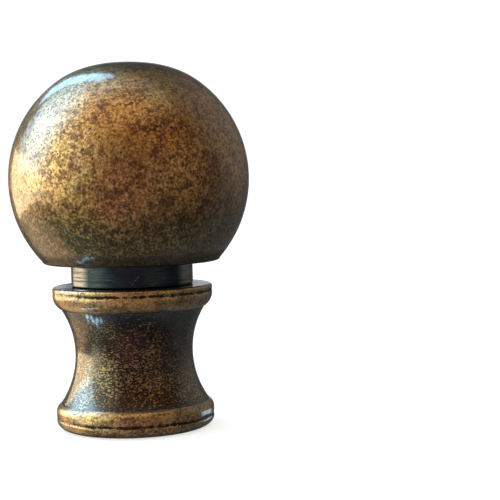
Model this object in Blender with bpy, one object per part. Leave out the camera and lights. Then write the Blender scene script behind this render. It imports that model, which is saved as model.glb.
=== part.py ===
# Lamp shade finial: a ball on a turned collar, over a waisted spool with a tapped insert in its foot.
# Units are metres. Z points up, and the origin is at the middle of the foot, on the surface it stands on.

import math

import bmesh
import bpy
from mathutils import Vector

# Ball
BALL_DIAMETER = 0.0250
BALL_CENTRE_ABOVE_UNDERSIDE = 0.0087
BALL_EDGE_ROUNDING_HEIGHT = 0.00035
BALL_EDGE_ROUNDING_WIDTH = 0.0007
CROWN_FLATTENING = 0.0004
CROWN_ANGLE = math.radians(36)

# Collar between the ball and the spool
COLLAR_DIAMETER = 0.0127
COLLAR_SHOWN_LENGTH = 0.00235
COLLAR_SOCKET_DEPTH = 0.0006
COLLAR_CHAMFER = 0.00012
SOCKET_CLEARANCE = 0.00005

# Spool
SPOOL_HEIGHT = 0.0149
SPOOL_TOP_DIAMETER = 0.0167
SPOOL_WAIST_DIAMETER = 0.0123
SPOOL_FOOT_DIAMETER = 0.0165
WAIST_HEIGHT = 0.0079
COVE_STEP = 0.0001

# Top rim of the spool, from its edge down to the cove
TOP_RIM_HEIGHT = 0.0023
TOP_RIM_TAPER = 0.00075
TOP_EDGE_ROUNDING = 0.0003
TOP_GROOVE_BELOW_EDGE = 0.00065

# Foot rim of the spool, from the cove down to the ring that it stands on
FOOT_RIM_HEIGHT = 0.0027
FOOT_RIM_TAPER = 0.0004
FOOT_RIM_TAPER_HEIGHT = 0.0008
FOOT_GROOVE_ABOVE_FOOT = 0.00125
FOOT_ROUNDING_HEIGHT = 0.00105
FOOT_RING_OUTER_DIAMETER = 0.0138
FOOT_RING_WIDTH = 0.0005
FOOT_INNER_ROUNDING_HEIGHT = 0.0007

# Shallow groove cut round each rim
GROOVE_WIDTH = 0.00024
GROOVE_DEPTH = 0.00008

# Tapped insert
INSERT_HEAD_DIAMETER = 0.0105
INSERT_HEAD_THICKNESS = 0.0022
INSERT_SHANK_DIAMETER = 0.0092
INSERT_LENGTH = 0.0100
INSERT_ABOVE_FOOT = 0.0002
INSERT_CHAMFER = 0.0002
MOAT_WIDTH = 0.00045
SHANK_CLEARANCE = 0.00002
BORE_BEYOND_INSERT = 0.0003

# Thread of the insert: 1/4 inch with 27 threads to the inch, as lamp harps have.
# A full thread's depth is a share of the sharp V's, and the flat at its root a share of the pitch.
THREAD_DIAMETER = 0.00635
THREAD_PITCH = 0.0254 / 27
THREAD_FLANK_ANGLE = math.radians(30)
FULL_THREAD_SHARE = 5 / 8
ROOT_FLAT_SHARE = 1 / 8
THREAD_ENGAGEMENT = 0.85
LEAD_IN_CLEARANCE = 0.00012
LEAD_IN_DEPTH = 0.0016

# Gap left between pieces that rest on one another
SEAT_GAP = 0.00002

# Facets, and the turns by which the thread's helix outruns the hole before it is held to its end rings
SIDES = 48
THREAD_SIDES = 24
SPARE_TURNS = 3
BALL_STEPS = 20
COVE_STEPS = 7
RIM_STEPS = 4
ROUND_STEPS = 3
MERGE_DISTANCE = 1e-7

# Heights and radii that follow from the sizes above
COLLAR_RADIUS = COLLAR_DIAMETER / 2
UNDERSIDE_HEIGHT = SPOOL_HEIGHT + COLLAR_SHOWN_LENGTH
BALL_CENTRE_HEIGHT = UNDERSIDE_HEIGHT + BALL_CENTRE_ABOVE_UNDERSIDE
INSERT_SEAT_HEIGHT = INSERT_ABOVE_FOOT + INSERT_HEAD_THICKNESS
INSERT_TOP_HEIGHT = INSERT_ABOVE_FOOT + INSERT_LENGTH
THREAD_START_HEIGHT = INSERT_ABOVE_FOOT + LEAD_IN_DEPTH
THREAD_RADIUS = THREAD_DIAMETER / 2
SHARP_THREAD_DEPTH = THREAD_PITCH / (2 * math.tan(THREAD_FLANK_ANGLE))
THREAD_DEPTH = SHARP_THREAD_DEPTH * FULL_THREAD_SHARE * THREAD_ENGAGEMENT
CORE_RADIUS = THREAD_RADIUS - THREAD_DEPTH


def clear_scene():
    for item in list(bpy.data.objects):
        bpy.data.objects.remove(item)


def metal(name, colour, roughness):
    """A plain metal in the piece's own colour."""
    material = bpy.data.materials.new(name)
    material.use_nodes = True
    shader = material.node_tree.nodes["Principled BSDF"]
    shader.inputs["Base Color"].default_value = (*colour, 1.0)
    shader.inputs["Roughness"].default_value = roughness
    shader.inputs["Metallic"].default_value = 1.0
    return material


def quarter_round(start, end, steps, leaves_upright):
    """Points after start up to end on a quarter of an ellipse, which leaves start along Z or across it."""
    points = []
    for step in range(1, steps + 1):
        angle = math.pi / 2 * step / steps
        across, along = (1 - math.cos(angle), math.sin(angle))
        if not leaves_upright:
            across, along = along, across
        points.append((start[0] + (end[0] - start[0]) * across, start[1] + (end[1] - start[1]) * along))
    return points


def arc_from_upright(upright, tilted, steps):
    """Points of the circular arc that is upright at its first end, from there to its tilted end."""
    across = tilted[0] - upright[0]
    along = tilted[1] - upright[1]
    radius = (across**2 + along**2) / (2 * abs(across))
    sweep = math.asin(abs(along) / radius)
    points = []
    for step in range(steps + 1):
        angle = sweep * step / steps
        points.append((
            upright[0] + math.copysign(radius * (1 - math.cos(angle)), across),
            upright[1] + math.copysign(radius * math.sin(angle), along),
        ))
    return points


def groove(radius, height):
    """A shallow V round a rim, listed downwards."""
    return [
        (radius, height + GROOVE_WIDTH / 2),
        (radius - GROOVE_DEPTH, height),
        (radius, height - GROOVE_WIDTH / 2),
    ]


def turned(name, outline, material):
    """A solid of revolution. The outline starts and ends on the axis, and runs down its outer side."""
    mesh = bpy.data.meshes.new(name)
    edges = [(i, i + 1) for i in range(len(outline) - 1)]
    mesh.from_pydata([(radius, 0.0, height) for radius, height in outline], edges, [])
    piece = bpy.data.objects.new(name, mesh)
    bpy.context.scene.collection.objects.link(piece)
    lathe = piece.modifiers.new("Lathe", "SCREW")
    lathe.axis = "Z"
    lathe.angle = math.tau
    lathe.steps = SIDES
    lathe.render_steps = SIDES
    lathe.use_merge_vertices = True
    lathe.merge_threshold = MERGE_DISTANCE
    lathe.use_smooth_shade = True
    mesh.materials.append(material)


def ball_outline():
    """Down from the pole, round to the flat underside and up into the collar's socket."""
    radius = BALL_DIAMETER / 2
    edge_height = BALL_CENTRE_ABOVE_UNDERSIDE - BALL_EDGE_ROUNDING_HEIGHT
    last_angle = math.pi / 2 + math.asin(edge_height / radius)
    points = []
    for step in range(BALL_STEPS + 1):
        angle = last_angle * step / BALL_STEPS
        flattening = 0.0
        if angle < CROWN_ANGLE:
            flattening = CROWN_FLATTENING * (1 + math.cos(math.pi * angle / CROWN_ANGLE)) / 2
        reach = radius - flattening
        points.append((reach * math.sin(angle), BALL_CENTRE_HEIGHT + reach * math.cos(angle)))
    edge = points[-1]
    underside_edge = (edge[0] - BALL_EDGE_ROUNDING_WIDTH, UNDERSIDE_HEIGHT)
    points += quarter_round(edge, underside_edge, ROUND_STEPS, True)
    socket_radius = COLLAR_RADIUS + SOCKET_CLEARANCE
    socket_top = UNDERSIDE_HEIGHT + COLLAR_SOCKET_DEPTH
    return points + [(socket_radius, UNDERSIDE_HEIGHT), (socket_radius, socket_top), (0.0, socket_top)]


def collar_outline():
    """A plain turned disc, with its foot on the spool and its head in the ball's socket."""
    foot = SPOOL_HEIGHT + SEAT_GAP
    head = UNDERSIDE_HEIGHT + COLLAR_SOCKET_DEPTH - SEAT_GAP
    return [
        (0.0, head),
        (COLLAR_RADIUS - COLLAR_CHAMFER, head),
        (COLLAR_RADIUS, head - COLLAR_CHAMFER),
        (COLLAR_RADIUS, foot + COLLAR_CHAMFER),
        (COLLAR_RADIUS - COLLAR_CHAMFER, foot),
        (0.0, foot),
    ]


def top_rim():
    """The spool's top face and rim, down to where the cove starts."""
    radius = SPOOL_TOP_DIAMETER / 2
    edge = (radius - TOP_EDGE_ROUNDING, SPOOL_HEIGHT)
    band_start = (radius, SPOOL_HEIGHT - TOP_GROOVE_BELOW_EDGE - GROOVE_WIDTH)
    band_end = (radius - TOP_RIM_TAPER, SPOOL_HEIGHT - TOP_RIM_HEIGHT)
    points = [(0.0, SPOOL_HEIGHT), edge]
    points += quarter_round(edge, (radius, SPOOL_HEIGHT - TOP_EDGE_ROUNDING), ROUND_STEPS, False)
    points += groove(radius, SPOOL_HEIGHT - TOP_GROOVE_BELOW_EDGE)
    return points + arc_from_upright(band_start, band_end, RIM_STEPS)


def cove():
    """The waisted body: two arcs that meet upright at the waist."""
    waist = (SPOOL_WAIST_DIAMETER / 2, WAIST_HEIGHT)
    top = (SPOOL_TOP_DIAMETER / 2 - TOP_RIM_TAPER - COVE_STEP, SPOOL_HEIGHT - TOP_RIM_HEIGHT - COVE_STEP / 2)
    bottom = (SPOOL_FOOT_DIAMETER / 2 - FOOT_RIM_TAPER - COVE_STEP, FOOT_RIM_HEIGHT + COVE_STEP / 2)
    upper = arc_from_upright(waist, top, COVE_STEPS)
    lower = arc_from_upright(waist, bottom, COVE_STEPS)
    return upper[::-1] + lower[1:]


def foot_rim():
    """The foot rim from the cove down to the ring that it stands on, and over into the bore."""
    radius = SPOOL_FOOT_DIAMETER / 2
    ring_outer = FOOT_RING_OUTER_DIAMETER / 2
    band_top = (radius - FOOT_RIM_TAPER, FOOT_RIM_HEIGHT)
    band_full = (radius, FOOT_RIM_HEIGHT - FOOT_RIM_TAPER_HEIGHT)
    roll_start = (radius, FOOT_ROUNDING_HEIGHT)
    bore_edge = (INSERT_HEAD_DIAMETER / 2 + MOAT_WIDTH, FOOT_INNER_ROUNDING_HEIGHT)
    ring_inner = (ring_outer - FOOT_RING_WIDTH, 0.0)
    points = arc_from_upright(band_full, band_top, RIM_STEPS - 1)[::-1]
    points += groove(radius, FOOT_GROOVE_ABOVE_FOOT)
    points.append(roll_start)
    points += quarter_round(roll_start, (ring_outer, 0.0), ROUND_STEPS + 1, True)
    points.append(ring_inner)
    return points + quarter_round(ring_inner, bore_edge, ROUND_STEPS, False)


def insert_bore():
    """The bore in the spool's foot: a wide part round the insert's head, then a close one for its shank."""
    wide = INSERT_HEAD_DIAMETER / 2 + MOAT_WIDTH
    close = INSERT_SHANK_DIAMETER / 2 + SHANK_CLEARANCE
    seat = INSERT_SEAT_HEIGHT + SEAT_GAP
    top = INSERT_TOP_HEIGHT + BORE_BEYOND_INSERT
    return [(wide, seat), (close, seat), (close, top), (0.0, top)]


def spool_outline():
    return top_rim() + cove() + foot_rim() + insert_bore()


def insert_outline():
    """The insert's flanged body, from the far end of its core hole round to the end of its lead-in."""
    head = INSERT_HEAD_DIAMETER / 2
    shank = INSERT_SHANK_DIAMETER / 2
    lead_in = THREAD_RADIUS + LEAD_IN_CLEARANCE
    face = INSERT_ABOVE_FOOT
    return [
        (CORE_RADIUS, INSERT_TOP_HEIGHT),
        (shank - INSERT_CHAMFER, INSERT_TOP_HEIGHT),
        (shank, INSERT_TOP_HEIGHT - INSERT_CHAMFER),
        (shank, INSERT_SEAT_HEIGHT),
        (head, INSERT_SEAT_HEIGHT),
        (head, face + INSERT_CHAMFER),
        (head - INSERT_CHAMFER, face),
        (lead_in, face),
        (lead_in, THREAD_START_HEIGHT - (lead_in - CORE_RADIUS)),
        (CORE_RADIUS, THREAD_START_HEIGHT),
    ]


def thread_point(step, radius, height):
    """A point on a helical line of the thread, or past its ends on the ring that ends the core hole."""
    angle = math.tau * step / THREAD_SIDES
    rise = THREAD_START_HEIGHT + height + THREAD_PITCH * (step / THREAD_SIDES - 1)
    if not THREAD_START_HEIGHT < rise < INSERT_TOP_HEIGHT:
        radius = CORE_RADIUS
        rise = min(max(rise, THREAD_START_HEIGHT), INSERT_TOP_HEIGHT)
    return Vector((radius * math.cos(angle), radius * math.sin(angle), rise))


def add_thread(mesh):
    """The wall of the core hole: helical lines at the groove's mouth and root, and the strips between them."""
    half_root = THREAD_PITCH * ROOT_FLAT_SHARE / 2
    half_mouth = half_root + THREAD_DEPTH * math.tan(THREAD_FLANK_ANGLE)
    lines = [
        (CORE_RADIUS, -half_mouth),
        (THREAD_RADIUS, -half_root),
        (THREAD_RADIUS, half_root),
        (CORE_RADIUS, half_mouth),
    ]
    turns = math.ceil((INSERT_TOP_HEIGHT - THREAD_START_HEIGHT) / THREAD_PITCH) + SPARE_TURNS
    steps = turns * THREAD_SIDES
    helices = [[mesh.verts.new(thread_point(step, *line)) for step in range(steps + 1)] for line in lines]
    next_turn = helices[0][THREAD_SIDES:]
    for lower, upper in zip(helices, [*helices[1:], next_turn]):
        for step in range(min(len(lower), len(upper)) - 1):
            mesh.faces.new((lower[step], lower[step + 1], upper[step + 1], upper[step]))


def threaded_insert(material):
    """The insert's body turned in the thread's own steps, and joined to the thread's wall at its two rings."""
    mesh = bmesh.new()
    outline = [mesh.verts.new((radius, 0.0, height)) for radius, height in insert_outline()]
    edges = [mesh.edges.new(pair) for pair in zip(outline, outline[1:])]
    bmesh.ops.spin(
        mesh,
        geom=[*outline, *edges],
        cent=(0.0, 0.0, 0.0),
        axis=(0.0, 0.0, 1.0),
        angle=math.tau,
        steps=THREAD_SIDES,
    )
    add_thread(mesh)
    bmesh.ops.remove_doubles(mesh, verts=mesh.verts[:], dist=MERGE_DISTANCE)
    bmesh.ops.recalc_face_normals(mesh, faces=mesh.faces[:])
    data = bpy.data.meshes.new("threaded_insert")
    mesh.to_mesh(data)
    mesh.free()
    data.materials.append(material)
    piece = bpy.data.objects.new("threaded_insert", data)
    bpy.context.scene.collection.objects.link(piece)


def main():
    clear_scene()
    rubbed_brass = metal("antique_brass", (0.29, 0.19, 0.08), 0.38)
    dark_brass = metal("dark_antique_brass", (0.13, 0.09, 0.05), 0.42)
    blackened = metal("blackened_metal", (0.03, 0.03, 0.035), 0.30)
    bare_brass = metal("bare_brass", (0.80, 0.62, 0.48), 0.25)
    turned("ball", ball_outline(), rubbed_brass)
    turned("neck_collar", collar_outline(), blackened)
    turned("spool_base", spool_outline(), dark_brass)
    threaded_insert(bare_brass)


main()
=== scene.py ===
# %% [markdown]
# # A lamp shade finial in antique brass
# The finial is a plated ball on a short blackened collar, over a waisted spool with a tapped brass insert
# in its foot.
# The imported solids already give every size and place, so this lesson only dresses them.
# Each solid gets a finer turned mesh in its place, and then a finish painted by nodes.

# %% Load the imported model
import math

import bmesh
import bpy
import numpy as np
from mathutils import Matrix, Vector, noise


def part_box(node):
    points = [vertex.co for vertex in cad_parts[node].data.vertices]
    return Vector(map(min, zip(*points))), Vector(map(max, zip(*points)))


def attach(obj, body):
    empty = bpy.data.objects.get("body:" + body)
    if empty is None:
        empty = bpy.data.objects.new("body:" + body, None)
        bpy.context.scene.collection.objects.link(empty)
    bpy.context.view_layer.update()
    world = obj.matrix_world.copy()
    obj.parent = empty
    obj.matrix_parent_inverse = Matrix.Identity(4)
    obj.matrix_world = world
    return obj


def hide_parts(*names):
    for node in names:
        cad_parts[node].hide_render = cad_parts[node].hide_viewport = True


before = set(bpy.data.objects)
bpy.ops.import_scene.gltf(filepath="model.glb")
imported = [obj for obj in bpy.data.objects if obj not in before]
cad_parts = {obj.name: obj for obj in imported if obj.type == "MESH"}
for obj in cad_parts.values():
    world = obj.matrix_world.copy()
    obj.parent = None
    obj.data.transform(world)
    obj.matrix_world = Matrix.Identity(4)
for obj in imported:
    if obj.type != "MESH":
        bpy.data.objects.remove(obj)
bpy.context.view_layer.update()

MM = 0.001

# %% [markdown]
# ## Sizes from the solids
# A turned thing has few sizes: a radius and two heights for each piece.
# They are read from the solids' boxes, so the fine meshes can't drift away from them.
# Where one piece rests on another a small gap is left, as in the solids, so no two surfaces lie in one place.

# %% Read the sizes
def turned_size(node):
    """The largest radius, and the lowest and highest point, of a turned solid."""
    low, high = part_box(node)
    return (high.x - low.x) / 2, low.z, high.z


GAP = 0.02 * MM
BALL_RADIUS, UNDERSIDE, CROWN = turned_size("ball")
COLLAR_RADIUS, COLLAR_FOOT, COLLAR_HEAD = turned_size("neck_collar")
SPOOL_RADIUS, SPOOL_FOOT, SPOOL_TOP = turned_size("spool_base")
INSERT_RADIUS, INSERT_FACE, INSERT_TOP = turned_size("threaded_insert")
print("ball radius %.2f mm, spool radius %.2f mm" % (BALL_RADIUS / MM, SPOOL_RADIUS / MM))

# %% [markdown]
# ## Camera
# The photograph was taken close, with a long lens, from about the height of the ball's middle.
# The finial stands left of the middle of the picture and leans slightly, so the camera is turned, dipped
# and rolled.
# The values were fitted to the outline of the ball and of the spool.

# %% Place the camera
PHOTO_PIXELS = 500
FOCAL_PIXELS = 1319.4
SENSOR_WIDTH = 36.0
NEAREST_SEEN = 5 * MM
CAMERA_DISTANCE = 138.4 * MM
CAMERA_HEIGHT = 25.74 * MM
CAMERA_TURN = math.radians(5.137)
CAMERA_DIP = math.radians(3.126)
CAMERA_ROLL = math.radians(-1.363)

lens = bpy.data.cameras.new("camera")
lens.sensor_width = SENSOR_WIDTH
lens.lens = FOCAL_PIXELS * SENSOR_WIDTH / PHOTO_PIXELS
lens.clip_start = NEAREST_SEEN
camera = bpy.data.objects.new("camera", lens)
bpy.context.scene.collection.objects.link(camera)
turned = Matrix.Rotation(-CAMERA_TURN, 4, "Z")
dipped = Matrix.Rotation(math.pi / 2 - CAMERA_DIP, 4, "X")
rolled = Matrix.Rotation(CAMERA_ROLL, 4, "Z")
camera.matrix_world = Matrix.Translation((0, -CAMERA_DISTANCE, CAMERA_HEIGHT)) @ turned @ dipped @ rolled
bpy.context.scene.camera = camera
print("lens of %.1f mm at %.1f mm" % (lens.lens, CAMERA_DISTANCE / MM))

# %% [markdown]
# ## Writing nodes as sums
# A painted metal is a long sum of noises and masks, which is hard to read as node after node.
# A Signal wraps the socket that gives a number out, and its operators add the Math nodes.
# A Paint holds one node tree and has one method for every other kind of node.

# %% A number that can be written in sums
class Signal:
    """What a node gives out. A sum with it adds a Math node."""

    def __init__(self, paint, socket):
        self.paint = paint
        self.socket = socket

    def __add__(self, other):
        return self.paint.maths("ADD", self, other)

    def __sub__(self, other):
        return self.paint.maths("SUBTRACT", self, other)

    def __rsub__(self, other):
        return self.paint.maths("SUBTRACT", other, self)

    def __mul__(self, other):
        return self.paint.maths("MULTIPLY", self, other)

    __radd__ = __add__
    __rmul__ = __mul__

    def larger(self, other):
        return self.paint.maths("MAXIMUM", self, other)

    def beside(self, output):
        """Another output of the same node."""
        return Signal(self.paint, pick(self.socket.node.outputs, output))

    def rise(self, start, end):
        """0 up to start, 1 from end on, and smooth between. With start above end it falls instead."""
        sockets = {"Value": self, "From Min": start, "From Max": end}
        return self.paint.node("ShaderNodeMapRange", {"interpolation_type": "SMOOTHSTEP"}, sockets, "Result")


# %% A node tree to paint with
def pick(sockets, key):
    """The socket with this number, or with this name among those that the node's settings leave in use."""
    if isinstance(key, int):
        return sockets[key]
    return next(s for s in sockets if key in (s.name, s.identifier) and s.enabled)


class Paint:
    """One node tree, and the ways to add to it."""

    def __init__(self, tree):
        self.tree = tree

    def node(self, kind, settings, sockets, output):
        """Adds a node: its settings first, then what its sockets hold. Returns the output asked for."""
        node = self.tree.nodes.new(kind)
        for key, value in settings.items():
            setattr(node, key, value)
        for key, value in sockets.items():
            self.feed(pick(node.inputs, key), value)
        return Signal(self, pick(node.outputs, output))

    def feed(self, socket, value):
        if isinstance(value, Signal):
            self.tree.links.new(value.socket, socket)
        elif socket.type == "RGBA":
            socket.default_value = (*value, 1.0)
        else:
            socket.default_value = value

    def maths(self, operation, *numbers):
        node = self.tree.nodes.new("ShaderNodeMath")
        node.operation = operation
        for socket, number in zip(node.inputs, numbers):
            self.feed(socket, number)
        return Signal(self, node.outputs["Value"])

    def vectors(self, operation, sockets):
        return self.node("ShaderNodeVectorMath", {"operation": operation}, sockets, "Vector")

    def mix(self, under, over, share, blend="MIX"):
        """Colour over laid on colour under, by a share from 0 to 1."""
        sockets = {"Factor_Float": share, "A_Color": under, "B_Color": over}
        return self.node("ShaderNodeMix", {"data_type": "RGBA", "blend_type": blend}, sockets, "Result_Color")


# %% [markdown]
# A finish is a Paint on the Principled shader of a new material. It measures places on the piece in
# millimetres, so that a noise's size can be read off the real thing with a ruler.

# %% A metal finish
SPOT_GROWTH = 0.8
SPOT_EDGE = 0.08


class Finish(Paint):
    """A material on a Principled shader, with places on the piece in millimetres."""

    def __init__(self, name, **plain):
        self.material = bpy.data.materials.new(name)
        self.material.use_nodes = True
        super().__init__(self.material.node_tree)
        self.shader = self.tree.nodes["Principled BSDF"]
        where = self.node("ShaderNodeTexCoord", {}, {}, "Object")
        self.place = self.vectors("MULTIPLY", {0: where, 1: (1 / MM,) * 3})
        for key, value in plain.items():
            self.set(key.replace("_", " ").title(), value)

    def set(self, name, value):
        self.feed(self.shader.inputs[name], value)

    def noise(self, grains_per_mm, detail=2.0, rough=0.5, stretch=(1, 1, 1), seed=0.0):
        """Soft noise round a half. A stretch above 1 makes the grains longer that way."""
        place = self.vectors(
            "MULTIPLY_ADD",
            {0: self.place, 1: tuple(1 / s for s in stretch), 2: (seed, seed / 2, -seed)},
        )
        sockets = {"Vector": place, "Scale": grains_per_mm, "Detail": detail, "Roughness": rough}
        return self.node("ShaderNodeTexNoise", {"noise_dimensions": "3D"}, sockets, "Fac")

    def spots(self, per_mm, share, radius, seed=0.0):
        """Round spots of up to radius in a share of the cells of a loose pattern: 1 in a spot, 0 round it."""
        place = self.vectors("ADD", {0: self.place, 1: (seed, seed, seed)})
        distance = self.node("ShaderNodeTexVoronoi", {}, {"Vector": place, "Scale": per_mm}, "Distance")
        centre = {"Vector": distance.beside("Position")}
        draw = self.node("ShaderNodeTexWhiteNoise", {"noise_dimensions": "3D"}, centre, "Value")
        reach = (share - draw).rise(0.0, share * SPOT_GROWTH) * (radius * per_mm)
        return (reach - distance).rise(0.0, SPOT_EDGE)

    def along(self, axis):
        """How far a place lies along an axis, in millimetres. Along Z it is the height above the foot."""
        return self.node("ShaderNodeSeparateXYZ", {}, {"Vector": self.place}, axis)

    def slant(self):
        """For gloss: 0 where the surface is seen straight on, and 1 where it is seen along itself."""
        return self.node("ShaderNodeLayerWeight", {}, {"Blend": 0.5}, "Facing")

    def emboss(self, relief, depth):
        """Lets a relief from 0 to 1 tilt the surface as if it were depth millimetres deep."""
        sockets = {"Height": relief, "Distance": depth * MM}
        self.set("Normal", self.node("ShaderNodeBump", {}, sockets, "Normal"))

    def done(self):
        """Says how many nodes the finish took, and hands it on."""
        print("%s: %d nodes" % (self.material.name, len(self.tree.nodes)))
        return self


# %% [markdown]
# ## Floor and light
# The photograph has a plain white ground and no shadow.
# Here the ground is a round seamless dish, a pale floor that curves up into its wall, so that every side
# has a backdrop. It glows a little by itself, so it stays even and pale wherever the panels hang.
# A white floor would turn the lower half of the ball white, so the dish isn't reflected.
# It casts no shadow either, so the glows of a table that are painted below it still reach the metal.

# %% Spin an outline
def spin(mesh, outline, sides):
    """Adds an outline of radii and heights to a mesh, and turns it about Z."""
    rim = [mesh.verts.new((radius, 0.0, height)) for radius, height in outline]
    edges = [mesh.edges.new(pair) for pair in zip(rim, rim[1:])]
    bmesh.ops.spin(
        mesh, geom=[*rim, *edges], cent=(0, 0, 0), axis=(0, 0, 1), angle=math.tau, steps=sides
    )


def settle(mesh, name, nearest):
    """Merges points that are nearer than this, turns the faces one way, and makes the mesh that stays."""
    bmesh.ops.remove_doubles(mesh, verts=mesh.verts[:], dist=nearest)
    bmesh.ops.recalc_face_normals(mesh, faces=mesh.faces[:])
    data = bpy.data.meshes.new(name)
    mesh.to_mesh(data)
    return data


# %% Build the dish
FLOOR_RADIUS = 0.50
DISH_BEND = 0.25
DISH_HEIGHT = 0.90
DISH_SIDES = 96
BEND_STEPS = 16
DISH_NEAREST = 0.01 * MM
PAPER_GREY = (0.55, 0.55, 0.55)
PAPER_GLOW = (1.0, 1.0, 1.0)
PAPER_GLOW_STRENGTH = 0.62

dish_outline = [(0.0, 0.0), (FLOOR_RADIUS, 0.0)]
for step in range(1, BEND_STEPS + 1):
    bend = math.pi / 2 * step / BEND_STEPS
    dish_outline.append((FLOOR_RADIUS + DISH_BEND * math.sin(bend), DISH_BEND * (1 - math.cos(bend))))
dish_outline.append((FLOOR_RADIUS + DISH_BEND, DISH_HEIGHT))

dish_mesh = bmesh.new()
spin(dish_mesh, dish_outline, DISH_SIDES)
dish_data = settle(dish_mesh, "dish", DISH_NEAREST)
dish_mesh.free()
dish_data.shade_smooth()
dish = bpy.data.objects.new("dish", dish_data)
bpy.context.scene.collection.objects.link(dish)
dish.visible_glossy = False
dish.visible_shadow = False

paper = Finish("pale_paper", base_color=PAPER_GREY, roughness=0.9)
paper.set("Specular IOR Level", 0.0)
paper.set("Emission Color", PAPER_GLOW)
paper.set("Emission Strength", PAPER_GLOW_STRENGTH)
dish_data.materials.append(paper.material)
print("dish of %d faces" % len(dish_data.polygons))

# %% [markdown]
# A polished ball mirrors almost the whole room, so the highlights on it tell where the light was: a tall
# cool window behind it on the left, a narrow one beside it, and a warm sill under both.
# Soft panels stand in for the three.
# A panel's power follows from the brightness that it should show in the metal.

# %% Hang the panels
ROOM_CENTRE = Vector((0, 0, 22 * MM))
PANEL_DISTANCE = 0.30
COOL_WHITE = (0.47, 0.75, 0.97)
COLD_WHITE = (0.34, 0.71, 1.0)
CREAM = (1.0, 0.79, 0.48)


def towards(azimuth, elevation):
    """The direction at these angles. Azimuth 0 is the camera's side and 90 the right."""
    turn, rise = math.radians(azimuth), math.radians(elevation)
    return Vector((math.sin(turn) * math.cos(rise), -math.cos(turn) * math.cos(rise), math.sin(rise)))


def panel(name, place, aim, size, colour, brightness, spread):
    """A soft panel turned to the aimed point. It dims when seen aslant, and is gone at half the spread."""
    half = math.radians(spread / 2)
    light = bpy.data.lights.new(name, "AREA")
    light.shape = "RECTANGLE"
    light.size, light.size_y = size
    light.spread = 2 * half
    light.color = colour
    light.energy = brightness * math.pi * light.size * light.size_y * (1 - half / math.tan(half))
    holder = bpy.data.objects.new(name, light)
    bpy.context.scene.collection.objects.link(holder)
    holder.location = place
    holder.rotation_euler = (place - aim).to_track_quat("Z", "Y").to_euler()
    holder.visible_camera = False


def far_panel(name, azimuth, elevation, width, height, colour, brightness, spread):
    """A panel across the room that the finial sees at these angles, as many degrees wide and high."""
    place = ROOM_CENTRE + towards(azimuth, elevation) * PANEL_DISTANCE
    size = [2 * PANEL_DISTANCE * math.tan(math.radians(angle / 2)) for angle in (width, height)]
    panel(name, place, ROOM_CENTRE, size, colour, brightness, spread)


far_panel("window", -110, 34, 52, 58, COOL_WHITE, 4.0, 75)
far_panel("narrow_window", -152, 47, 11, 42, COLD_WHITE, 4.0, 140)
far_panel("sill", -118, 0, 54, 24, CREAM, 2.7, 130)

# %% [markdown]
# Small cool cards by the foot give the last glints. Four on the left show as broken glints under the
# ball's edge and high in the cove. One on the right shows at the end of the foot rim.

# %% Lay the cards
CARD_SPREAD = 90
# A card's X and Y, its width and its height, in millimetres.
LEFT_CARDS = [
    (-16.3, -2.4, 1.2, 1.6),
    (-15.4, -5.2, 2.2, 1.1),
    (-14.3, -7.4, 1.3, 1.9),
    (-12.6, -8.9, 1.0, 1.2),
]
LEFT_HEIGHT = 0.4
LEFT_AIM = (-4.5, -7.0, 15.5)
LEFT_BRIGHTNESS = 5.0
RIGHT_PLACE = (12.2, -0.5, 0.9)
RIGHT_AIM = (7.4, -3.6, 1.3)
RIGHT_SIZE = (4.2, 1.0)
RIGHT_BRIGHTNESS = 2.0


def card(name, place, aim, size, brightness):
    """A small cool panel. Its place, aim and size are in millimetres."""
    size = [side * MM for side in size]
    panel(name, Vector(place) * MM, Vector(aim) * MM, size, COOL_WHITE, brightness, CARD_SPREAD)


for number, (x, y, *size) in enumerate(LEFT_CARDS):
    card("left_card_%d" % number, (x, y, LEFT_HEIGHT), LEFT_AIM, size, LEFT_BRIGHTNESS)
card("right_card", RIGHT_PLACE, RIGHT_AIM, RIGHT_SIZE, RIGHT_BRIGHTNESS)

# %% [markdown]
# Between the panels the metal mirrors a dim room. It could be a picture of a room, but it is painted as
# a few wide soft glows that add up, so each one can be moved until its mirror image sits right.
# They are haze round the window, a warm ceiling, a reddish glow low in front, and light from the right
# wall, the table and the pale ground behind, which shows as a grey edge.

# %% Paint the room round the finial
DIM_ROOM = (0.090, 0.090, 0.085)
# A glow's azimuth and elevation, the degrees from there to where it starts to fade and is gone, its colour.
GLOWS = {
    "window haze": (-76, 22, 8, 48, (1.27, 1.49, 1.25)),
    "above the window": (-116, 66, 2, 22, (0.45, 0.62, 0.66)),
    "beside the sill": (-77, 1, 4, 22, (0.85, 0.67, 0.28)),
    "high haze": (-50, 60, 10, 42, (0.36, 0.13, 0.01)),
    "ceiling": (0, 80, 8, 40, (0.42, 0.43, 0.31)),
    "high on the right": (35, 45, 10, 42, (0.18, 0.075, 0.012)),
    "front": (-15, 5, 10, 34, (0.19, 0.10, 0.10)),
    "low in front": (-25, -25, 8, 24, (0.38, 0.215, 0.18)),
    "low in front, right": (12, -25, 8, 24, (0.22, 0.13, 0.13)),
    "right": (45, 8, 10, 38, (0.20, 0.155, 0.10)),
    "right wall": (122, 24, 12, 40, (0.135, 0.112, 0.083)),
    "behind": (180, 3, 5, 19, (0.46, 0.48, 0.54)),
    "table on the left": (-125, -32, 8, 32, (0.70, 0.50, 0.29)),
    "table in front": (-60, -32, 10, 34, (0.25, 0.25, 0.18)),
    "table below": (0, -80, 15, 50, (0.09, 0.08, 0.07)),
}

world = bpy.data.worlds.new("room")
bpy.context.scene.world = world
world.use_nodes = True
room = Paint(world.node_tree)
facing = room.node("ShaderNodeTexCoord", {}, {}, "Generated")


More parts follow.
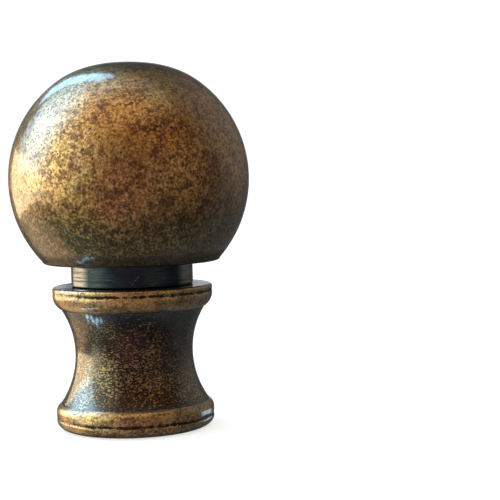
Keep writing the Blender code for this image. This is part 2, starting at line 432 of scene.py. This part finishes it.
def glow(under, azimuth, elevation, core, edge, colour):
    """Adds a glow that is full within core degrees of a direction and gone at edge degrees."""
    nearness = {0: facing, 1: towards(azimuth, elevation)}
    along = room.node("ShaderNodeVectorMath", {"operation": "DOT_PRODUCT"}, nearness, "Value")
    share = along.rise(math.cos(math.radians(edge)), math.cos(math.radians(core)))
    return room.mix(under, colour, share, "ADD")


surroundings = DIM_ROOM
for parts in GLOWS.values():
    surroundings = glow(surroundings, *parts)
backdrop = world.node_tree.nodes["Background"]
room.feed(backdrop.inputs["Color"], surroundings)
bpy.context.scene.view_settings.view_transform = "Standard"
print("room painted with %d glows" % len(GLOWS))

# %% [markdown]
# ## Turning a mesh
# Each piece was made on a lathe or in a round die, so each mesh starts as an outline of radii and heights,
# turned about Z. The Screw modifier would do that too, but here every point is also sunk by about a
# hundredth of a millimetre, because a real plated surface is never quite even and its reflections show it.

# %% Points of an outline
def quarter(start, end, steps, upright):
    """Points after start up to end on a quarter of an ellipse, which leaves start along Z or across it."""
    points = []
    for step in range(1, steps + 1):
        angle = math.pi / 2 * step / steps
        across, along = 1 - math.cos(angle), math.sin(angle)
        if not upright:
            across, along = along, across
        points.append((start[0] + (end[0] - start[0]) * across, start[1] + (end[1] - start[1]) * along))
    return points


def arc(upright, tilted, steps):
    """Points of the circular arc that is upright at its first end, from there to its tilted end."""
    across, along = tilted[0] - upright[0], tilted[1] - upright[1]
    radius = (across**2 + along**2) / (2 * abs(across))
    sweep = math.asin(abs(along) / radius)
    points = []
    for step in range(steps + 1):
        angle = sweep * step / steps
        points.append((
            upright[0] + math.copysign(radius * (1 - math.cos(angle)), across),
            upright[1] + math.copysign(radius * math.sin(angle), along),
        ))
    return points


def line(start, end, steps):
    """Even points on a straight line, without its start."""
    return [tuple(np.array(start) + (np.array(end) - start) * step / steps) for step in range(1, steps + 1)]


# %% Unevenness
def waves(place, length):
    """Smooth noise from -1 to 1, with waves of about this length."""
    return noise.noise(place / length)


def dents(place, depth, length):
    """Smooth dents down to twice the depth. They only sink, so no point stands outside the solid."""
    return depth * (waves(place, length) - 1)


def drawn_out(place, share):
    """The place with X and Y shrunk to a share, so that waves there run round the piece as lathe lines do."""
    return Vector((place.x * share, place.y * share, place.z))


# %% Turn an outline into a mesh
SAME_POINT = 0.001 * MM


def joined(stretches):
    """All stretches as one outline, with the number of the finish of each step between two points."""
    outline, finishes = [], []
    for number, points in stretches:
        for point in points:
            if not outline or math.dist(point, outline[-1]) > SAME_POINT:
                outline.append(point)
                finishes.append(number)
    return np.array(outline), finishes[1:]


def turn(name, stretches, finishes, sides, relief, grime=None):
    """A closed mesh from stretches of (finish number, points), from the axis down the outside and back to it.

    relief(place) is how far a point stands out, and grime(place) is stored for the finish to read."""
    outline, numbers = joined(stretches)
    along = np.gradient(outline, axis=0)
    out = np.stack([-along[:, 1], along[:, 0]], 1)
    out /= np.linalg.norm(out, axis=1, keepdims=True)
    vertices = [(0.0, 0.0, outline[0][1])]
    dirt = [0.0]
    for (radius, height), (out_r, out_z) in zip(outline[1:-1], out[1:-1]):
        for side in range(sides):
            angle = math.tau * side / sides
            cos, sin = math.cos(angle), math.sin(angle)
            place = Vector((radius * cos, radius * sin, height))
            lift = relief(place)
            reach = radius + lift * out_r
            vertices.append((reach * cos, reach * sin, height + lift * out_z))
            dirt.append(grime(place) if grime else 0.0)
    vertices.append((0.0, 0.0, outline[-1][1]))
    dirt.append(0.0)
    last = len(vertices) - 1
    faces, face_finishes = [], []
    for ring, number in enumerate(numbers):
        upper, lower = 1 + (ring - 1) * sides, 1 + ring * sides
        for side in range(sides):
            after = (side + 1) % sides
            if ring == 0:
                faces.append((0, lower + side, lower + after))
            elif ring == len(numbers) - 1:
                faces.append((upper + side, last, upper + after))
            else:
                faces.append((upper + side, lower + side, lower + after, upper + after))
            face_finishes.append(number)
    mesh = bpy.data.meshes.new(name)
    mesh.from_pydata(vertices, [], faces)
    return dress(mesh, finishes, face_finishes, dirt)


# %% Dress a mesh and put it in its solid's place
SHARP_EDGE = math.radians(40)


def dress(mesh, finishes, face_finishes, dirt):
    """Gives a mesh its finishes, its grime and its shading, and puts it in the scene."""
    for finish in finishes:
        mesh.materials.append(finish.material)
    mesh.polygons.foreach_set("material_index", face_finishes)
    mesh.attributes.new("grime", "FLOAT", "POINT").data.foreach_set("value", dirt)
    mesh.shade_smooth()
    mesh.set_sharp_from_angle(angle=SHARP_EDGE)
    piece = bpy.data.objects.new(mesh.name, mesh)
    bpy.context.scene.collection.objects.link(piece)
    return piece


def stand_in(piece, node):
    """The fine piece rides with the body, and takes the place of its solid."""
    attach(piece, "root")
    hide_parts(node)
    triangles = sum(len(face.vertices) - 2 for face in piece.data.polygons)
    print("%s: %d triangles" % (piece.name, triangles))


# %% [markdown]
# ## The black metal
# The collar, the spool's top and bore and the ball's underside are one blackened metal, slightly blue.
# Wear has bared fine lines round it and, on the collar's front, one short scratch that climbs to the right.
# The lines are finer than the rings of a mesh, so a noise that is 40 times longer across than along Z paints
# them. The scratch isn't left to chance: it is a mask round a sloping line, bent and broken by two noises.

# %% Finish of the black metal
BLUED_BLACK = (0.018, 0.035, 0.054)
BARE_LINE = (0.15, 0.14, 0.12)
BARE_SCRATCH = (0.33, 0.34, 0.33)
SCRATCH_MIDDLE = (0.28, 15.70)
SCRATCH_SLOPE = 1.15
SCRATCH_WAVER = 0.5
SCRATCH_HALF_WIDTH = (0.07, 0.02)
SCRATCH_HALF_LENGTH = (0.46, 0.38)
FRONT_OF = (0.0, -1.0)


def scratch(finish):
    """The short bare scratch on the collar's front: 1 on it and 0 beside it."""
    across = finish.along("X") - SCRATCH_MIDDLE[0]
    rise = finish.along("Z") - SCRATCH_MIDDLE[1]
    off = rise - across * SCRATCH_SLOPE + (finish.noise(2.5, seed=14.0) - 0.5) * SCRATCH_WAVER
    thin = finish.maths("ABSOLUTE", off).rise(*SCRATCH_HALF_WIDTH)
    broken = finish.noise(6.0, seed=15.0).rise(0.40, 0.58)
    short = finish.maths("ABSOLUTE", across).rise(*SCRATCH_HALF_LENGTH)
    return thin * broken * short * finish.along("Y").rise(*FRONT_OF)


def black_finish():
    finish = Finish("blackened_metal", metallic=1.0, coat_roughness=0.10)
    finish.set("Coat IOR", 3.0)
    lines = finish.noise(7.0, detail=3, rough=0.7, stretch=(40, 40, 1))
    scuffs = finish.noise(9.0, detail=2, rough=0.6, stretch=(12, 12, 1), seed=5.0)
    tone = finish.mix(BLUED_BLACK, BARE_LINE, scuffs.rise(0.57, 0.72) * 0.7)
    finish.set("Base Color", finish.mix(tone, BARE_SCRATCH, scratch(finish) * 0.8))
    finish.set("Roughness", 0.34 + lines * 0.15)
    gloss = 0.10 + finish.slant().rise(0.30, 0.48) * 0.90
    finish.set("Coat Weight", gloss * (0.15 + lines.rise(0.40, 0.54) * 0.85))
    finish.emboss(lines, depth=0.010)
    return finish.done()


black = black_finish()

# %% [markdown]
# ## The ball
# The real ball is a pressed shell plated with brass, darkened and then rubbed back.
# It is golden brown where it was rubbed, olive where it wasn't, and pitted all over with fine dark specks.
# A picture wrapped round it would pinch at the crown, so each patch is a noise of the size that the real
# one shows, and each pit is a round spot in a cell of its own.
# A thin lacquer over it gives the silvery window highlight, which bare brass would tint yellow.

# %% Finish of the ball
GOLD = (0.47, 0.245, 0.070)
ORANGE_BROWN = (0.335, 0.138, 0.043)
OLIVE = (0.180, 0.140, 0.060)
# Painted shade across the top of the ball.
CROWN_SHADE_OLIVE = (0.034, 0.042, 0.024)
MOSS = (0.070, 0.074, 0.026)
DARK_BROWN = (0.095, 0.052, 0.031)
DARK_PIT = (0.014, 0.009, 0.006)
PALE_GRAIN = (0.82, 0.58, 0.30)
# Painted shade along the ball's lower edge.
LIP_SHADE = (0.042, 0.038, 0.035)

# Each pair is where a patch starts and where it is full, along Z or X in millimetres.
LOW_BELOW = (27.0, 18.0)
MOSSY_BELOW = (27.0, 21.0)
MOSSY_LEFT_OF = (3.0, -6.0)
PITTED_LEFT_OF = (9.0, -6.0)
CROWN_SHADE_ABOVE = (36.1, 37.9)
LIP_SHADE_BELOW = (UNDERSIDE / MM + 1.5, UNDERSIDE / MM + 0.7)
RAGGED_BY = 1.5


def ball_finish():
    finish = Finish("antique_brass_ball", metallic=1.0, coat_roughness=0.11)
    finish.set("Coat IOR", 2.3)
    clouds = finish.noise(0.14, detail=3, rough=0.55, seed=3.0)
    blotches = finish.noise(0.42, detail=4, rough=0.6, seed=11.0)
    mottle = finish.noise(1.4, detail=4, rough=0.65, seed=5.0)
    grain = finish.noise(4.0, detail=3, rough=0.6, seed=8.0)
    height, side = finish.along("Z"), finish.along("X")
    low = height.rise(*LOW_BELOW)
    worn = (blotches * 0.6 + mottle * 0.4).rise(0.44, 0.60)
    tone = finish.mix(GOLD, ORANGE_BROWN, worn)
    tone = finish.mix(tone, OLIVE, (clouds * 0.7 + low * 0.45).rise(0.35, 0.75))
    tone = finish.mix(tone, DARK_BROWN, (mottle + (blotches - 0.5) * 0.3).rise(0.45, 0.70) * 0.7)
    mossy = side.rise(*MOSSY_LEFT_OF) * height.rise(*MOSSY_BELOW) * mottle.rise(0.40, 0.56)
    tone = finish.mix(tone, MOSS, mossy * 0.6)
    bright = (grain - (mottle - 0.5) * 0.4).rise(0.50, 0.63)
    tone = finish.mix(tone, PALE_GRAIN, bright * (0.78 - low * 0.24 - worn * 0.25))
    peppered = (blotches + side.rise(*PITTED_LEFT_OF) * 0.25).rise(0.44, 0.66)
    large_pits = finish.spots(per_mm=1.6, share=0.35, radius=0.15)
    small_pits = finish.spots(per_mm=2.9, share=0.90, radius=0.105, seed=4.0) * peppered
    specks = (mottle * 0.2 - grain * 0.8).rise(-0.26, -0.20) * 0.62
    pits = large_pits.larger(small_pits).larger(specks)
    tone = finish.mix(tone, DARK_PIT, pits * (0.97 - worn * 0.10))
    ragged = height + (mottle - 0.5) * RAGGED_BY
    # Painted shade: a ragged dark olive band darkens the top of the ball.
    crown = ragged.rise(*CROWN_SHADE_ABOVE)
    tone = finish.mix(tone, CROWN_SHADE_OLIVE, crown * 0.85)
    # Painted shade: the ball darkens to near black along its lower edge, just above the lip.
    lip = ragged.rise(*LIP_SHADE_BELOW)
    finish.set("Base Color", finish.mix(tone, LIP_SHADE, lip * 0.75))
    finish.set("Roughness", 0.30 + grain * 0.10 + pits * 0.15 + lip * 0.15)
    gloss = 0.15 + finish.slant().rise(0.16, 0.46) * (0.85 - pits * 0.40)
    finish.set("Coat Weight", gloss * (1.0 - lip * 0.60 - crown * 0.30))
    finish.emboss(grain * 0.5 - pits * 0.6, depth=0.028)
    return finish.done()


# %% [markdown]
# The ball's mesh follows its solid: a sphere with a slightly flattened crown, cut flat below with a small
# rounded lip. A ready-made sphere has neither, so the outline is worked out angle by angle.
# The flat underside has a shallow socket that takes the collar's head.

# %% Outline of the ball
CROWN_FLATTENING = 0.4 * MM
CROWN_ANGLE = math.radians(36)
LIP_HEIGHT = 0.35 * MM
LIP_WIDTH = 0.7 * MM
LIP_STEPS = 8
SOCKET_CLEARANCE = 0.05 * MM
SOCKET_TOP = COLLAR_HEAD + GAP
BALL_RINGS = 230
BALL_CENTRE = CROWN - BALL_RADIUS + CROWN_FLATTENING


def ball_outline():
    """The shell from the crown round the lip, and then the underside up to the axis."""
    last = math.pi / 2 + math.asin((BALL_CENTRE - UNDERSIDE - LIP_HEIGHT) / BALL_RADIUS)
    shell = []
    for step in range(BALL_RINGS + 1):
        angle = last * step / BALL_RINGS
        reach = BALL_RADIUS
        if angle < CROWN_ANGLE:
            reach -= CROWN_FLATTENING * (1 + math.cos(math.pi * angle / CROWN_ANGLE)) / 2
        shell.append((reach * math.sin(angle), BALL_CENTRE + reach * math.cos(angle)))
    lip = quarter(shell[-1], (shell[-1][0] - LIP_WIDTH, UNDERSIDE), LIP_STEPS, True)
    socket = COLLAR_RADIUS + SOCKET_CLEARANCE
    return shell + lip, [lip[-1], (socket, UNDERSIDE), (socket, SOCKET_TOP), (0.0, SOCKET_TOP)]


# %% Make the ball
BALL_SIDES = 384
BALL_SWELLS = (0.006 * MM, 1.6 * MM)
BALL_RIPPLES = (0.004 * MM, 0.6 * MM)


def ball_relief(place):
    return dents(place, *BALL_SWELLS) + dents(place, *BALL_RIPPLES)


shell, underside = ball_outline()
ball = turn("ball_shell", [(0, shell), (1, underside)], [ball_finish(), black], BALL_SIDES, ball_relief)
stand_in(ball, "ball")

# %% [markdown]
# ## The collar
# The collar is a plain blackened disc. The lathe left fine lines round it, which split its highlight
# into threads. A bump alone would vanish at its edge, so the lines are also real rings in the mesh,
# a few thousandths of a millimetre deep.

# %% Make the collar
COLLAR_CHAMFER = 0.12 * MM
COLLAR_RINGS = 90
COLLAR_SIDES = 256
COLLAR_LINES = (0.004 * MM, 0.09 * MM)
COLLAR_DRAWN_OUT = 0.02


def collar_relief(place):
    return dents(drawn_out(place, COLLAR_DRAWN_OUT), *COLLAR_LINES)


wall_top = (COLLAR_RADIUS, COLLAR_HEAD - COLLAR_CHAMFER)
wall_end = (COLLAR_RADIUS, COLLAR_FOOT + COLLAR_CHAMFER)
collar_side = [
    (0.0, COLLAR_HEAD),
    (COLLAR_RADIUS - COLLAR_CHAMFER, COLLAR_HEAD),
    wall_top,
    *line(wall_top, wall_end, COLLAR_RINGS),
    (COLLAR_RADIUS - COLLAR_CHAMFER, COLLAR_FOOT),
    (0.0, COLLAR_FOOT),
]
collar = turn("turned_collar", [(0, collar_side)], [black], COLLAR_SIDES, collar_relief)
stand_in(collar, "neck_collar")

# %% [markdown]
# ## The spool
# The spool was dipped black and then its rims were rubbed, so each rim is golden and the cove keeps a dark
# ground with golden flecks where the wheel touched it.
# It could be turned from one curve, but each stretch of its outline has a finish of its own, so the
# stretches are made apart: the black top, the rubbed top rim, the cove, the rubbed foot rim and the bore.

# %% Outline of the spool
TOP_ROUNDING = 0.3 * MM
TOP_RIM_HEIGHT = 2.3 * MM
TOP_RIM_TAPER = 0.75 * MM
TOP_GROOVE = SPOOL_TOP - 0.65 * MM
BAND_BELOW_GROOVE = 0.24 * MM
COVE_STEP = 0.1 * MM
WAIST_RADIUS = 6.15 * MM
WAIST_HEIGHT = 7.9 * MM
FOOT_RADIUS = 8.25 * MM
FOOT_RIM_HEIGHT = 2.7 * MM
FOOT_RIM_TAPER = 0.4 * MM
FOOT_RIM_TAPER_HEIGHT = 0.8 * MM
FOOT_GROOVE = 1.25 * MM
FOOT_ROLL_HEIGHT = 1.05 * MM
RING_OUTER = 6.9 * MM
RING_INNER = 6.4 * MM
INNER_ROLL_HEIGHT = 0.7 * MM
MOAT_RADIUS = INSERT_RADIUS + 0.45 * MM
HEAD_THICKNESS = 2.2 * MM
SHANK_RADIUS = 4.6 * MM
BORE_TOP = INSERT_TOP + 0.3 * MM

ROUNDING_STEPS = 8
BAND_STEPS = 18
COVE_STEPS = 44
TAPER_STEPS = 12
WALL_STEPS = 20
ROLL_STEPS = 16
INNER_ROLL_STEPS = 10


def top_rim():
    edge = (SPOOL_RADIUS - TOP_ROUNDING, SPOOL_TOP)
    shoulder = (SPOOL_RADIUS, SPOOL_TOP - TOP_ROUNDING)
    band = (SPOOL_RADIUS, TOP_GROOVE - BAND_BELOW_GROOVE)
    end = (SPOOL_RADIUS - TOP_RIM_TAPER, SPOOL_TOP - TOP_RIM_HEIGHT)
    points = [edge] + quarter(edge, shoulder, ROUNDING_STEPS, False)
    return points + line(shoulder, band, BAND_STEPS) + arc(band, end, BAND_STEPS)


def cove():
    waist = (WAIST_RADIUS, WAIST_HEIGHT)
    top = (SPOOL_RADIUS - TOP_RIM_TAPER - COVE_STEP, SPOOL_TOP - TOP_RIM_HEIGHT - COVE_STEP / 2)
    bottom = (FOOT_RADIUS - FOOT_RIM_TAPER - COVE_STEP, FOOT_RIM_HEIGHT + COVE_STEP / 2)
    return arc(waist, top, COVE_STEPS)[::-1] + arc(waist, bottom, COVE_STEPS)[1:]


def foot_rim():
    top = (FOOT_RADIUS - FOOT_RIM_TAPER, FOOT_RIM_HEIGHT)
    full = (FOOT_RADIUS, FOOT_RIM_HEIGHT - FOOT_RIM_TAPER_HEIGHT)
    roll = (FOOT_RADIUS, FOOT_ROLL_HEIGHT)
    outer, inner = (RING_OUTER, SPOOL_FOOT), (RING_INNER, SPOOL_FOOT)
    points = arc(full, top, TAPER_STEPS)[::-1] + line(full, roll, WALL_STEPS)
    points += quarter(roll, outer, ROLL_STEPS, True) + [inner]
    return points + quarter(inner, (MOAT_RADIUS, INNER_ROLL_HEIGHT), INNER_ROLL_STEPS, False)


def spool_bore():
    seat = INSERT_FACE + HEAD_THICKNESS + GAP
    close = SHANK_RADIUS + GAP
    moat = [(MOAT_RADIUS, INNER_ROLL_HEIGHT), (MOAT_RADIUS, seat)]
    return moat + [(close, seat), (close, BORE_TOP), (0.0, BORE_TOP)]


# %% [markdown]
# Each rim has a shallow groove in which grime stays as a broken dark line. The grooves wander a little in
# height, width and depth, as a tool held by hand cuts them, and they are worn shallow on the left.
# They could be painted lines, but a real groove also catches the light, so one sum gives both the depth of
# the mesh and the grime that lies in it.

# %% Relief of the spool
GROOVE_DEPTH = 0.08 * MM
GROOVE_HALF_WIDTH = 0.17 * MM
GROOVE_WANDER = [(0.05 * MM, 1.7 * MM), (0.03 * MM, 0.5 * MM)]
GROOVE_WIDENING = 0.35
WIDTH_WAVES = 0.9 * MM
WIDTH_ELSEWHERE = 1.3
SHALLOWEST = 0.35
USUAL_DEPTH = 0.80
DEPTH_CHANGE = 0.7
DEPTH_WAVES = 1.0 * MM
DEPTH_ELSEWHERE = 1.7
WORN_FROM = -4.8 * MM
WORN_OVER = 1.8 * MM
WORN_SHARE = 0.6
SPOOL_SWELLS = (0.004 * MM, 1.3 * MM)
SPOOL_LINES = (0.0015 * MM, 0.2 * MM)
SPOOL_DRAWN_OUT = 0.05


def in_groove(place, height):
    """How deep in a groove a point lies, from 0 to 1 and fading beside it."""
    # The width and the depth take their waves from places further out, so they don't keep step.
    round_it = Vector((place.x, place.y, height))
    wander = sum(reach * waves(round_it, length) for reach, length in GROOVE_WANDER)
    width = GROOVE_HALF_WIDTH * (1 + GROOVE_WIDENING * waves(round_it * WIDTH_ELSEWHERE, WIDTH_WAVES))
    depth = max(SHALLOWEST, USUAL_DEPTH + DEPTH_CHANGE * waves(round_it * DEPTH_ELSEWHERE, DEPTH_WAVES))
    depth *= 1 - WORN_SHARE * min(1.0, max(0.0, (WORN_FROM - place.x) / WORN_OVER))
    return depth * math.exp(-(((place.z - height - wander) / width) ** 2))


def spool_grime(place):
    if math.hypot(place.x, place.y) < MOAT_RADIUS:
        return 0.0
    return max(in_groove(place, TOP_GROOVE), in_groove(place, FOOT_GROOVE))


def spool_relief(place):
    uneven = dents(place, *SPOOL_SWELLS) + dents(drawn_out(place, SPOOL_DRAWN_OUT), *SPOOL_LINES)
    return uneven - GROOVE_DEPTH * spool_grime(place)


# %% [markdown]
# The rims are the brightest part: gold with brown blotches, pale where a ridge was rubbed hardest, and
# dark where grime stayed in the pits and in the grooves. Painted shade darkens the foot's bottom edge.
# A wear mask could be worked out from the mesh's edges, but a rim is smooth round its whole turn,
# so the wear is noise again, and only the grime comes from the mesh.

# %% Finish of the rubbed rims
RUBBED_GOLD = (0.58, 0.37, 0.118)
RUBBED_BROWN = (0.31, 0.165, 0.052)
# Dark brown for the grime in the grooves and for the painted shade under the foot.
GRIME_AND_SHADE = (0.028, 0.017, 0.011)
FOOT_SHADE_BELOW = (0.75, 0.25)


def rim_finish():
    finish = Finish("rubbed_rim", metallic=1.0, coat_roughness=0.12)
    finish.set("Coat IOR", 2.5)
    blotches = finish.noise(0.6, detail=4, rough=0.65, seed=2.0)
    grain = finish.noise(4.6, detail=3, rough=0.65, stretch=(1.5, 1.5, 1), seed=6.0)
    ridges = finish.noise(5.0, detail=2, rough=0.5, seed=9.0)
    grime = finish.node("ShaderNodeAttribute", {"attribute_name": "grime"}, {}, "Fac")
    tone = finish.mix(RUBBED_GOLD, RUBBED_BROWN, blotches.rise(0.40, 0.60))
    tone = finish.mix(tone, PALE_GRAIN, ridges.rise(0.48, 0.62) * 0.7)
    pits = (grain + (blotches - 0.5) * 0.25 + grime * 0.06).rise(0.50, 0.64)
    tone = finish.mix(tone, DARK_PIT, pits * 0.8)
    # Painted shade: the foot rim darkens towards its bottom edge, by the floor.
    under = (finish.along("Z") + (ridges - 0.5)).rise(*FOOT_SHADE_BELOW)
    # Grime in the grooves and the painted shade under the foot darken the rim together.
    grime_and_shade = (grime * (1.0 + (ridges - 0.5) * 3.5)).rise(0.25, 0.66).larger(under * 0.75)
    finish.set("Base Color", finish.mix(tone, GRIME_AND_SHADE, grime_and_shade))
    finish.set("Roughness", 0.30 + ridges * 0.10 + grime_and_shade * 0.3)
    gloss = 0.35 + finish.slant().rise(0.10, 0.42) * 0.65
    finish.set("Coat Weight", gloss * (1.0 - grime_and_shade * 0.7 - pits * 0.2))
    finish.emboss(ridges * 0.5 - pits * 0.5, depth=0.022)
    return finish.done()


# %% [markdown]
# The cove kept its black, bluish and bare near both ends, and the wheel left fine golden flecks in it,
# in loose clumps and in faint lines round the waist.
# Flecks could be scattered as spots, as the pits are, but real ones are ragged and run together.
# So they are the peaks of a fine noise, which clumps, lines and rubbing lift above a threshold.

# %% Finish of the cove
COVE_GROUND = (0.021, 0.015, 0.013)
BLUE_BLACK = (0.013, 0.024, 0.043)
FLECK_GOLD = (0.50, 0.345, 0.160)
FLECK_BRONZE = (0.24, 0.128, 0.055)
BARE_ABOVE = (10.2, 12.2)
BARE_BELOW = (3.6, 2.9)
RUBBED_LEFT_OF = (4.0, -6.0)


def cove_finish():
    finish = Finish("flecked_cove", metallic=1.0, coat_roughness=0.11)
    finish.set("Coat IOR", 2.5)
    clouds = finish.noise(0.30, detail=3, rough=0.6, seed=4.0)
    fine = finish.noise(7.0, detail=3, rough=0.75, stretch=(1.8, 1.8, 1), seed=1.0)
    lines = finish.noise(5.0, detail=2, rough=0.6, stretch=(20, 20, 1), seed=12.0)
    clumps = finish.noise(1.7, seed=13.0)
    height = finish.along("Z")
    bare = height.rise(*BARE_ABOVE).larger(height.rise(*BARE_BELOW) * 0.4)
    rubbed = (clouds - bare * 0.22 + finish.along("X").rise(*RUBBED_LEFT_OF) * 0.07).rise(0.27, 0.61)
    flecks = (fine + rubbed * 0.09 + (clumps - 0.5) * 0.14 + (lines - 0.5) * 0.16).rise(0.59, 0.67)
    ground = finish.mix(COVE_GROUND, BLUE_BLACK, bare)
    gold = finish.mix(FLECK_BRONZE, FLECK_GOLD, (clouds * 0.4 + fine * 0.6).rise(0.50, 0.64))
    finish.set("Base Color", finish.mix(ground, gold, flecks))
    finish.set("Roughness", 0.30 + fine * 0.12)
    gloss = 0.20 + finish.slant().rise(0.12, 0.36) * 0.80
    finish.set("Coat Weight", gloss * (0.42 + fine.rise(0.38, 0.53) * 0.58))
    finish.emboss(fine, depth=0.018)
    return finish.done()


# %% Make the spool
SPOOL_SIDES = 384
top_face = [(0.0, SPOOL_TOP), (COLLAR_RADIUS, SPOOL_TOP), (SPOOL_RADIUS - TOP_ROUNDING, SPOOL_TOP)]
spool = turn(
    "waisted_spool",
    [(0, top_face), (1, top_rim()), (2, cove()), (1, foot_rim()), (0, spool_bore())],
    [black, rim_finish(), cove_finish()],
    SPOOL_SIDES,
    spool_relief,
    spool_grime,
)
stand_in(spool, "spool_base")

# %% [markdown]
# ## The insert
# The insert is bare turned brass, the one piece that was never darkened. Its thread is cut for a lamp harp.
# A thread can't be turned from an outline, because it climbs. Its wall is a sheet of rows that climb with it,
# and each point stands at the radius of the groove, of the core hole or of the lead-in, whichever is widest.

# %% Sizes of the thread
INCH = 25.4
THREADS_PER_INCH = 27
THREAD_RADIUS = 3.175 * MM
THREAD_PITCH = INCH / THREADS_PER_INCH * MM
FLANK = math.radians(30)
SHARP_DEPTH = THREAD_PITCH / (2 * math.tan(FLANK))
CUT_SHARE = 0.85
THREAD_DEPTH = SHARP_DEPTH * 5 / 8 * CUT_SHARE
CORE_RADIUS = THREAD_RADIUS - THREAD_DEPTH
HALF_ROOT = THREAD_PITCH / 16
HALF_MOUTH = HALF_ROOT + THREAD_DEPTH * math.tan(FLANK)
LEAD_RADIUS = THREAD_RADIUS + 0.12 * MM
LEAD_END = INSERT_FACE + 1.6 * MM
CONE_START = LEAD_END - (LEAD_RADIUS - CORE_RADIUS)
THREAD_SIDES = 144
ROWS_OF_EACH_FACE = (4, 2, 4, 4)
SPARE_TURNS = 3
print("thread of %.4f mm pitch, %.3f mm deep" % (THREAD_PITCH / MM, THREAD_DEPTH / MM))


# %% Wall of the tapped hole
def hole_radius(height, climb):
    """The hole's radius at a height. climb is the share of a pitch that the groove has risen there."""
    cone = LEAD_RADIUS - max(0.0, height - CONE_START)
    offset = abs(((height - LEAD_END) / THREAD_PITCH - climb + 0.5) % 1.0 - 0.5) * THREAD_PITCH
    groove = THREAD_RADIUS - max(0.0, offset - HALF_ROOT) / math.tan(FLANK)
    return max(cone, groove, CORE_RADIUS)


def row_heights():
    """The rows of one turn, from the lower flank over the root and the upper flank to the crest's end."""
    corners = [-HALF_MOUTH, -HALF_ROOT, HALF_ROOT, HALF_MOUTH, THREAD_PITCH - HALF_MOUTH]
    heights = []
    for low, high, steps in zip(corners, corners[1:], ROWS_OF_EACH_FACE):
        heights += [low + (high - low) * step / steps for step in range(steps)]
    return heights


def add_thread(mesh, start):
    """Rows of points that climb one pitch a turn, held between the lead-in and the insert's far end."""
    turns = math.ceil((INSERT_TOP - start) / THREAD_PITCH) + SPARE_TURNS
    rows = []
    for number in range(-SPARE_TURNS, turns):
        for share in row_heights():
            row = []
            for side in range(THREAD_SIDES + 1):
                climb = side / THREAD_SIDES
                height = LEAD_END + share + THREAD_PITCH * (number + climb)
                held = min(max(height, start), INSERT_TOP)
                radius = CORE_RADIUS if held == INSERT_TOP else hole_radius(held, climb)
                angle = math.tau * climb
                row.append(mesh.verts.new((radius * math.cos(angle), radius * math.sin(angle), held)))
            rows.append(row)
    for lower, upper in zip(rows, rows[1:]):
        for side in range(THREAD_SIDES):
            mesh.faces.new((lower[side], lower[side + 1], upper[side + 1], upper[side]))


# %% Body of the insert
HEAD_CHAMFER = 0.2 * MM
HEAD_EDGE = 0.06 * MM
LEDGE_END = 0.16 * MM
FACE_START = 0.30 * MM
MOUTH_EDGE = 0.1 * MM
INSERT_NEAREST = 0.0005 * MM


def insert_outline():
    """From the far end of the hole round the outside to the straight part of the lead-in."""
    seat = INSERT_FACE + HEAD_THICKNESS
    ledge = INSERT_FACE + HEAD_CHAMFER - HEAD_EDGE
    return [
        (CORE_RADIUS, INSERT_TOP),
        (SHANK_RADIUS - HEAD_CHAMFER, INSERT_TOP),
        (SHANK_RADIUS, INSERT_TOP - HEAD_CHAMFER),
        (SHANK_RADIUS, seat),
        (INSERT_RADIUS, seat),
        (INSERT_RADIUS, INSERT_FACE + HEAD_CHAMFER),
        (INSERT_RADIUS - HEAD_EDGE, ledge),
        (INSERT_RADIUS - LEDGE_END, ledge),
        (INSERT_RADIUS - FACE_START, INSERT_FACE),
        (LEAD_RADIUS + MOUTH_EDGE, INSERT_FACE),
        (LEAD_RADIUS, INSERT_FACE + MOUTH_EDGE),
        (LEAD_RADIUS, INSERT_FACE + 3 * MOUTH_EDGE),
    ]


def insert_mesh():
    """The body spun from its outline, with the thread's wall sewn on from where the outline ends."""
    mesh = bmesh.new()
    outline = insert_outline()
    spin(mesh, outline, THREAD_SIDES)
    add_thread(mesh, outline[-1][1])
    data = settle(mesh, "tapped_insert", INSERT_NEAREST)
    print("open edges of the insert:", sum(not edge.is_manifold for edge in mesh.edges))
    mesh.free()
    return data


# %% [markdown]
# Facing the insert on a lathe left fine rings, which turn its face silky. Rings could be cut in the mesh,
# but they lie a tenth of a millimetre apart and are far shallower still, so a sine of the distance from
# the axis tilts the surface instead.

# %% Finish of the insert
BARE_BRASS = (0.86, 0.66, 0.50)
RING_WAVES = 60.0
RING_WOBBLE = 0.02


def insert_finish():
    finish = Finish("bare_brass", metallic=1.0, base_color=BARE_BRASS)
    flat = finish.vectors("MULTIPLY", {0: finish.place, 1: (1, 1, 0)})
    radius = finish.node("ShaderNodeVectorMath", {"operation": "LENGTH"}, {"Vector": flat}, "Value")
    wobble = finish.noise(0.6, seed=7.0)
    rings = finish.maths("SINE", (radius + wobble * RING_WOBBLE) * RING_WAVES)
    grain = finish.noise(6.0, detail=3, rough=0.6)
    finish.set("Roughness", 0.24 + grain * 0.12)
    finish.emboss(rings * 0.25 + grain * 0.3, depth=0.008)
    return finish.done()


# %% Make the insert
data = insert_mesh()
insert = dress(data, [insert_finish()], [0] * len(data.polygons), [0.0] * len(data.vertices))
stand_in(insert, "threaded_insert")
